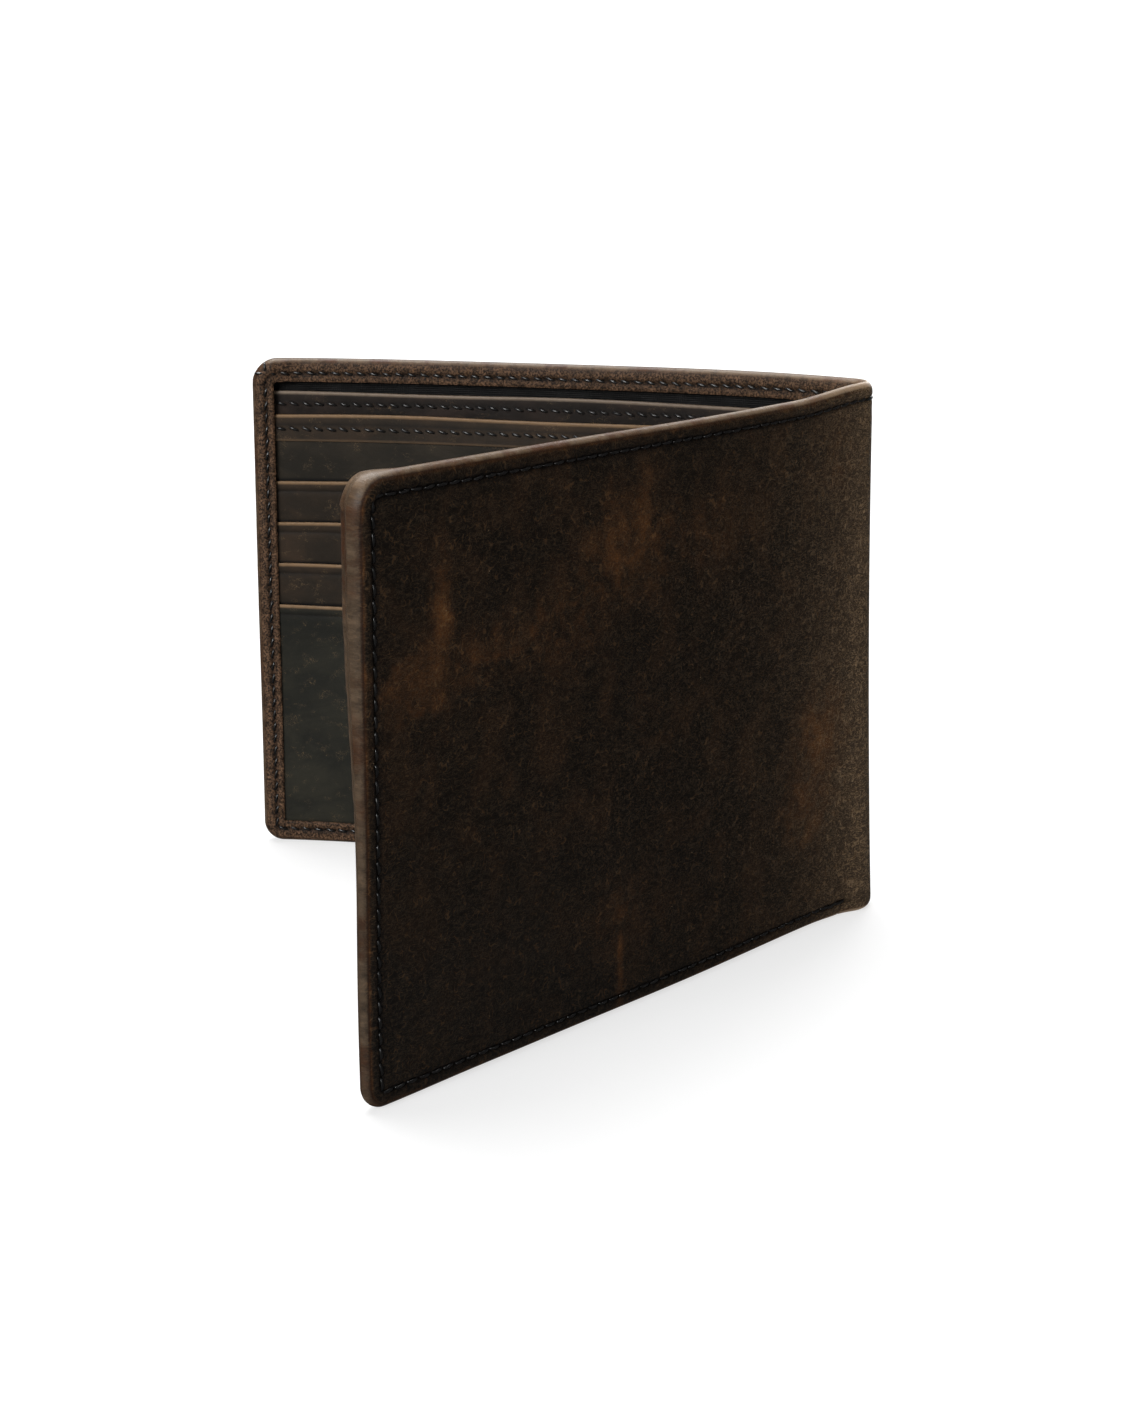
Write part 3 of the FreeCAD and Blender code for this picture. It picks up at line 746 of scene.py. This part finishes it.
def stitch_bar():
    """One stitch along X with its arch towards +Z: six sides, closed ends."""
    rings, sides = 7, 6
    points, faces = [], []
    for i in range(rings):
        s = i / (rings - 1)
        x = (s - 0.5) * STITCH_LENGTH
        arch = 0.34 * MM * (math.sin(math.pi * s) ** 0.6) - 0.24 * MM
        radius = THREAD_RADIUS * (0.5 + 0.5 * math.sin(math.pi * s) ** 0.5)
        for k in range(sides):
            turn = 2 * math.pi * (k + 0.5 * i) / sides
            points.append((x, radius * math.cos(turn), arch + radius * math.sin(turn)))
    for i in range(rings - 1):
        for k in range(sides):
            a, b = i * sides + k, i * sides + (k + 1) % sides
            faces.append((a, a + sides, b + sides, b))
    faces.append(tuple(range(sides)))
    faces.append(tuple((rings - 1) * sides + k for k in reversed(range(sides))))
    return mesh_object("stitch_bar", np.array(points), faces, THREAD, {})


def waxed_thread():
    """Black twisted thread with a waxy glint."""
    shader = Shader("waxed_thread", Specular_IOR_Level=0.7, Coat_Weight=0.6, Coat_Roughness=0.2)
    at = shader.add("TexCoord", output="Object")
    twist = shader.noise(shader.scaled(at, (2600, 2600, 2600)), 2)
    tone = shader.blend(shader.noise(shader.scaled(at, (90, 90, 90)), 3), rgb(6, 5, 5), rgb(18, 16, 15))
    return shader.finish(Base_Color=tone, Roughness=0.24 + 0.25 * twist, Normal=shader.bump(twist, 0.06 * MM, 0.6))


def sewing_tree():
    """Node tree that sets a stitch on each point, along and upright by the point's own vectors."""
    tree = bpy.data.node_groups.new("sewing", "GeometryNodeTree")
    face = tree.interface
    face.new_socket("Geometry", in_out="INPUT", socket_type="NodeSocketGeometry")
    for label, kind in (("Stitch", "Object"), ("Thread", "Material"), ("Uneven", "Float"), ("Seed", "Int")):
        face.new_socket(label, in_out="INPUT", socket_type=f"NodeSocket{kind}")
    face.new_socket("Geometry", in_out="OUTPUT", socket_type="NodeSocketGeometry")
    nodes, links = tree.nodes, tree.links
    start, end = nodes.new("NodeGroupInput"), nodes.new("NodeGroupOutput")

    def vector(name):
        """A named vector of the points."""
        node = nodes.new("GeometryNodeInputNamedAttribute")
        node.data_type = "FLOAT_VECTOR"
        node.inputs["Name"].default_value = name
        return node.outputs["Attribute"]

    def times(source, factor):
        """A number multiplied by a factor."""
        node = nodes.new("ShaderNodeMath")
        node.operation = "MULTIPLY"
        node.inputs[1].default_value = factor
        links.new(source, node.inputs[0])
        return node.outputs[0]

    aim = nodes.new("FunctionNodeAxesToRotation")
    aim.primary_axis, aim.secondary_axis = "Z", "X"
    links.new(vector("up"), aim.inputs[0])
    links.new(vector("along"), aim.inputs[1])
    # Each stitch is turned by up to Uneven either way about each axis.
    lean = nodes.new("FunctionNodeRandomValue")
    lean.data_type = "FLOAT_VECTOR"
    links.new(start.outputs["Seed"], lean.inputs["Seed"])
    spread = nodes.new("ShaderNodeVectorMath")
    spread.operation = "MULTIPLY_ADD"
    links.new(lean.outputs[0], spread.inputs[0])
    links.new(times(start.outputs["Uneven"], 2.0), spread.inputs[1])
    links.new(times(start.outputs["Uneven"], -1.0), spread.inputs[2])
    put = nodes.new("GeometryNodeInstanceOnPoints")
    stitch = nodes.new("GeometryNodeObjectInfo")
    links.new(start.outputs["Stitch"], stitch.inputs["Object"])
    links.new(start.outputs["Geometry"], put.inputs["Points"])
    links.new(stitch.outputs["Geometry"], put.inputs["Instance"])
    links.new(aim.outputs[0], put.inputs["Rotation"])
    sway = nodes.new("GeometryNodeRotateInstances")
    links.new(put.outputs[0], sway.inputs["Instances"])
    links.new(spread.outputs[0], sway.inputs["Rotation"])
    real = nodes.new("GeometryNodeRealizeInstances")
    paint = nodes.new("GeometryNodeSetMaterial")
    links.new(sway.outputs[0], real.inputs[0])
    links.new(real.outputs[0], paint.inputs["Geometry"])
    links.new(start.outputs["Thread"], paint.inputs["Material"])
    links.new(paint.outputs[0], end.inputs[0])
    return tree


THREAD = waxed_thread()
STITCH_BAR = stitch_bar()
SEWING = sewing_tree()


def spaced(corners):
    """Stitch places evenly spaced along a route of u, z corners, as u, z and the direction there."""
    found = []
    for (u1, z1), (u2, z2) in zip(corners, corners[1:]):
        run = math.hypot(u2 - u1, z2 - z1)
        count = max(1, round(run / STITCH_PITCH))
        for k in range(count):
            share = (k + 0.5) / count
            found.append((u1 + (u2 - u1) * share, z1 + (z2 - z1) * share, (u2 - u1) / run, (z2 - z1) / run))
    return np.array(found)


def sewn_row(side, corners, face, outside, slant=0.0):
    """Points, run directions and outward directions of one row; face gives the depth of the leather's face."""
    u, z, du, dz = spaced(corners).T
    w = face(u, z)
    at = place(side, u, w, z)
    step = 0.2 * MM
    along = place(side, u + du * step, w, z + dz * step) - at
    up = place(side, u, w + (-step if outside else step), z) - at
    across = np.cross(up, along)
    across *= np.linalg.norm(along, axis=1, keepdims=True) / np.linalg.norm(across, axis=1, keepdims=True)
    return at, along + across * slant, up


def sew(name, rows, seed):
    """One mesh of thread from rows of stitches."""
    at, along, up = (np.concatenate(part) for part in zip(*rows))
    marks = mesh_object(name, at, [], THREAD, {"along": along, "up": up})
    modifier = marks.modifiers.new("sewing", "NODES")
    modifier.node_group = SEWING
    sockets = {item.name: item.identifier for item in SEWING.interface.items_tree if item.in_out == "INPUT"}
    values = {"Stitch": STITCH_BAR, "Thread": THREAD, "Uneven": math.radians(5), "Seed": seed}
    for label, value in values.items():
        modifier[sockets[label]] = value
    return applied(marks)


def level_face(depth):
    """A face at one depth all over."""
    return lambda u, z: np.full_like(u, depth)


def hem_face(side):
    """Depth of the inner seam's bed on a half's turned edge."""
    return lambda u, z: edge_depth(side, u, z) - HEM_BED


def hem_top(u, z):
    """Depth of the back half's turned edge itself, for stitches that lie on it."""
    return edge_depth("back", u, z)


OUTER_FACE = level_face(SEAM_BED)
TACK_FACE = level_face(0.12 * MM)
STITCH_LINE = {
    "side": LENGTH - STITCH_INSET,
    "foot": STITCH_INSET,
    "top": HEIGHT - STITCH_INSET,
}
# Rows: round the edge outside, a back-tack at its foot, round the edge inside, along the divider and the band,
# up each pocket's fold side, and two crossing rows in the back's top corner.
for seed, side in enumerate(("back", "front")):
    far, foot, top = STITCH_LINE["side"], STITCH_LINE["foot"], STITCH_LINE["top"]
    round_edge = [(2.0 * MM, foot), (far, foot), (far, top), (0.0, top)]
    round_hem = round_edge[:-1] + [(BEND_GAP, top)]
    tack = [(3.0 * MM, foot - 0.12 * MM), (7.6 * MM, foot - 0.12 * MM)]
    rows = [
        sewn_row(side, round_edge, OUTER_FACE, True, 0.1),
        sewn_row(side, tack, TACK_FACE, True, -0.06),
        sewn_row(side, round_hem, hem_face(side), False, -0.28),
        sewn_row(side, [(BEND_GAP, DIVIDER_TOP - 2.2 * MM), (LENGTH - HEM_WIDTH, DIVIDER_TOP - 2.2 * MM)],
                 level_face(DIVIDER_FACE), False, -0.3),
        sewn_row(side, [(GUTTER, WALL_TOP - 2.6 * MM), (LENGTH - HEM_WIDTH, WALL_TOP - 2.6 * MM)],
                 level_face(CARD_W + STRIP_THICKNESS + 0.03 * MM), False, -0.3),
    ]
    tops = [z * MM for z in POCKET_TOPS] + [HEM_WIDTH]
    for number, (high, low) in enumerate(zip(tops, tops[1:])):
        depth = CARD_W + number * CARD_PITCH + STRIP_THICKNESS + 0.05 * MM
        route = [(GUTTER + 1.8 * MM, low + 0.4 * MM), (GUTTER + 1.8 * MM, high - 0.3 * MM)]
        rows.append(sewn_row(side, route, level_face(depth), False, 0.2))
    if side == "back":
        for end in ((LENGTH - 0.9 * MM, top), (far, HEIGHT - 0.9 * MM)):
            rows.append(sewn_row(side, [(far, top), end], hem_top, False))
    thread = sew(f"thread_{side}", rows, seed)
    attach(thread, f"{side}_half")
    for node in ("edge_thread", "divider_thread", "band_thread", "pocket_thread"):
        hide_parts(f"{node}_{side}")

spine_rows = []
for side in ("back", "front"):
    outer_route = [(0.0, STITCH_LINE["top"]), (-SPINE_LENGTH / 2, STITCH_LINE["top"])]
    inner_route = [(-BEND_GAP, STITCH_LINE["top"]), (-SPINE_LENGTH / 2, STITCH_LINE["top"])]
    spine_rows.append(sewn_row(side, outer_route, OUTER_FACE, True, 0.1))
    spine_rows.append(sewn_row(side, inner_route, hem_face(side), False, -0.2))
spine_thread = sew("thread_spine", spine_rows, 7)
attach(spine_thread, "spine")
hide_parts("spine_thread")
bpy.data.objects.remove(STITCH_BAR)


# ---------------------------------------------------------------------------------------------------------------
# Studio: a round white floor in a pale ring wall, a broad soft light overhead and three weaker ones at the sides.
# Neither floor nor wall shows in reflections, so the leather stays dark. The camera has a long lens.
# ---------------------------------------------------------------------------------------------------------------
def turned(name, profile, shader):
    """A surface turned round the upright from a profile of radius and height."""
    sides = 96
    turn = np.linspace(0, 2 * math.pi, sides, endpoint=False)
    rings = [np.column_stack([direction(turn) * radius, np.full(sides, height)]) for radius, height in profile]
    faces = []
    for i in range(len(profile) - 1):
        for k in range(sides):
            a, b = i * sides + k, i * sides + (k + 1) % sides
            faces.append((a, b, b + sides, a + sides))
    faces.append(tuple(range(sides)))
    surface = mesh_object(name, np.concatenate(rings), [face[::-1] for face in faces[:-1]] + faces[-1:], shader, {})
    surface.visible_glossy = False
    return surface


white = Shader("studio_white", Roughness=0.9, Specular_IOR_Level=0.1, Base_Color=(0.32, 0.32, 0.32, 1),
               Emission_Strength=1.0)
away = white.add("VectorMath", {"operation": "LENGTH"}, {0: white.add("TexCoord", output="Object")}, "Value")
glow = white.blend(away.rise(0.2, 1.6), (0.66, 0.66, 0.66, 1), (0.95, 0.95, 0.95, 1))
white.finish(Emission_Color=glow)
turned("studio_floor", [(0.4, 0.0), (1.4, 0.0), (3.1, 0.0)], white.material)
WALL_RADIUS = 3.0
WALL_CURVE = 0.6
WALL_HEIGHT = 4.0
WALL_PROFILE = [(WALL_RADIUS, -0.002)]
for step in range(9):
    turn = step * math.pi / 16
    WALL_PROFILE.append((WALL_RADIUS + WALL_CURVE * math.sin(turn), WALL_CURVE * (1 - math.cos(turn))))
WALL_PROFILE.append((WALL_RADIUS + WALL_CURVE, WALL_HEIGHT))
paper = Shader("studio_paper", Roughness=0.9, Emission_Color=(1, 1, 1, 1), Emission_Strength=0.9)
wall = turned("studio_wall", WALL_PROFILE, paper.material)
wall.visible_diffuse = False
wall.visible_shadow = False

CAMERA_YAW = math.radians(17.28)
CAMERA_TILT = math.radians(90 - 12.78)
CAMERA_PLACE = (0.1233, -0.3434, 0.1495)
MIDDLE = Vector((0, 0, 0.045))


def soft_light(name, azimuth, elevation, distance, size, power, glossy=True):
    """A soft light, size wide and high, that faces the wallet; azimuth in degrees leftwards from behind it."""
    light = bpy.data.lights.new(name, "AREA")
    light.shape = "RECTANGLE"
    light.size, light.size_y = size
    light.energy = power
    lamp = bpy.data.objects.new(name, light)
    a, e = math.radians(azimuth) + math.pi / 2 + CAMERA_YAW, math.radians(elevation)
    offset = Vector((math.cos(a) * math.cos(e), math.sin(a) * math.cos(e), math.sin(e))) * distance
    lamp.location = MIDDLE + offset
    lamp.rotation_euler = (-offset).to_track_quat("-Z", "Y").to_euler()
    lamp.visible_glossy = glossy
    lamp.visible_camera = False
    bpy.context.collection.objects.link(lamp)


soft_light("overhead", 20, 68, 2.4, (2.2, 1.8), 100)
soft_light("left", 146, 28, 1.1, (0.6, 0.5), 9.5)
soft_light("right", -105, 25, 1.1, (0.7, 0.6), 1.0, glossy=False)
soft_light("right_strip", -24, 14, 0.9, (0.3, 0.6), 3)
world = bpy.data.worlds.new("studio_air")
world.use_nodes = True
air = world.node_tree.nodes["Background"]
air.inputs["Color"].default_value = (1, 1, 1, 1)
air.inputs["Strength"].default_value = 0.06
bpy.context.scene.world = world
bpy.context.scene.view_settings.view_transform = "Standard"

# Camera: a little above the wallet's top and tilted down at it, with the frame shifted down.
camera_data = bpy.data.cameras.new("camera")
camera_data.lens = 61.86
camera_data.sensor_width = 36
camera_data.shift_y = -0.0999
camera = bpy.data.objects.new("camera", camera_data)
camera.location = CAMERA_PLACE
camera.rotation_euler = (CAMERA_TILT, 0, CAMERA_YAW)
bpy.context.collection.objects.link(camera)
bpy.context.scene.camera = camera
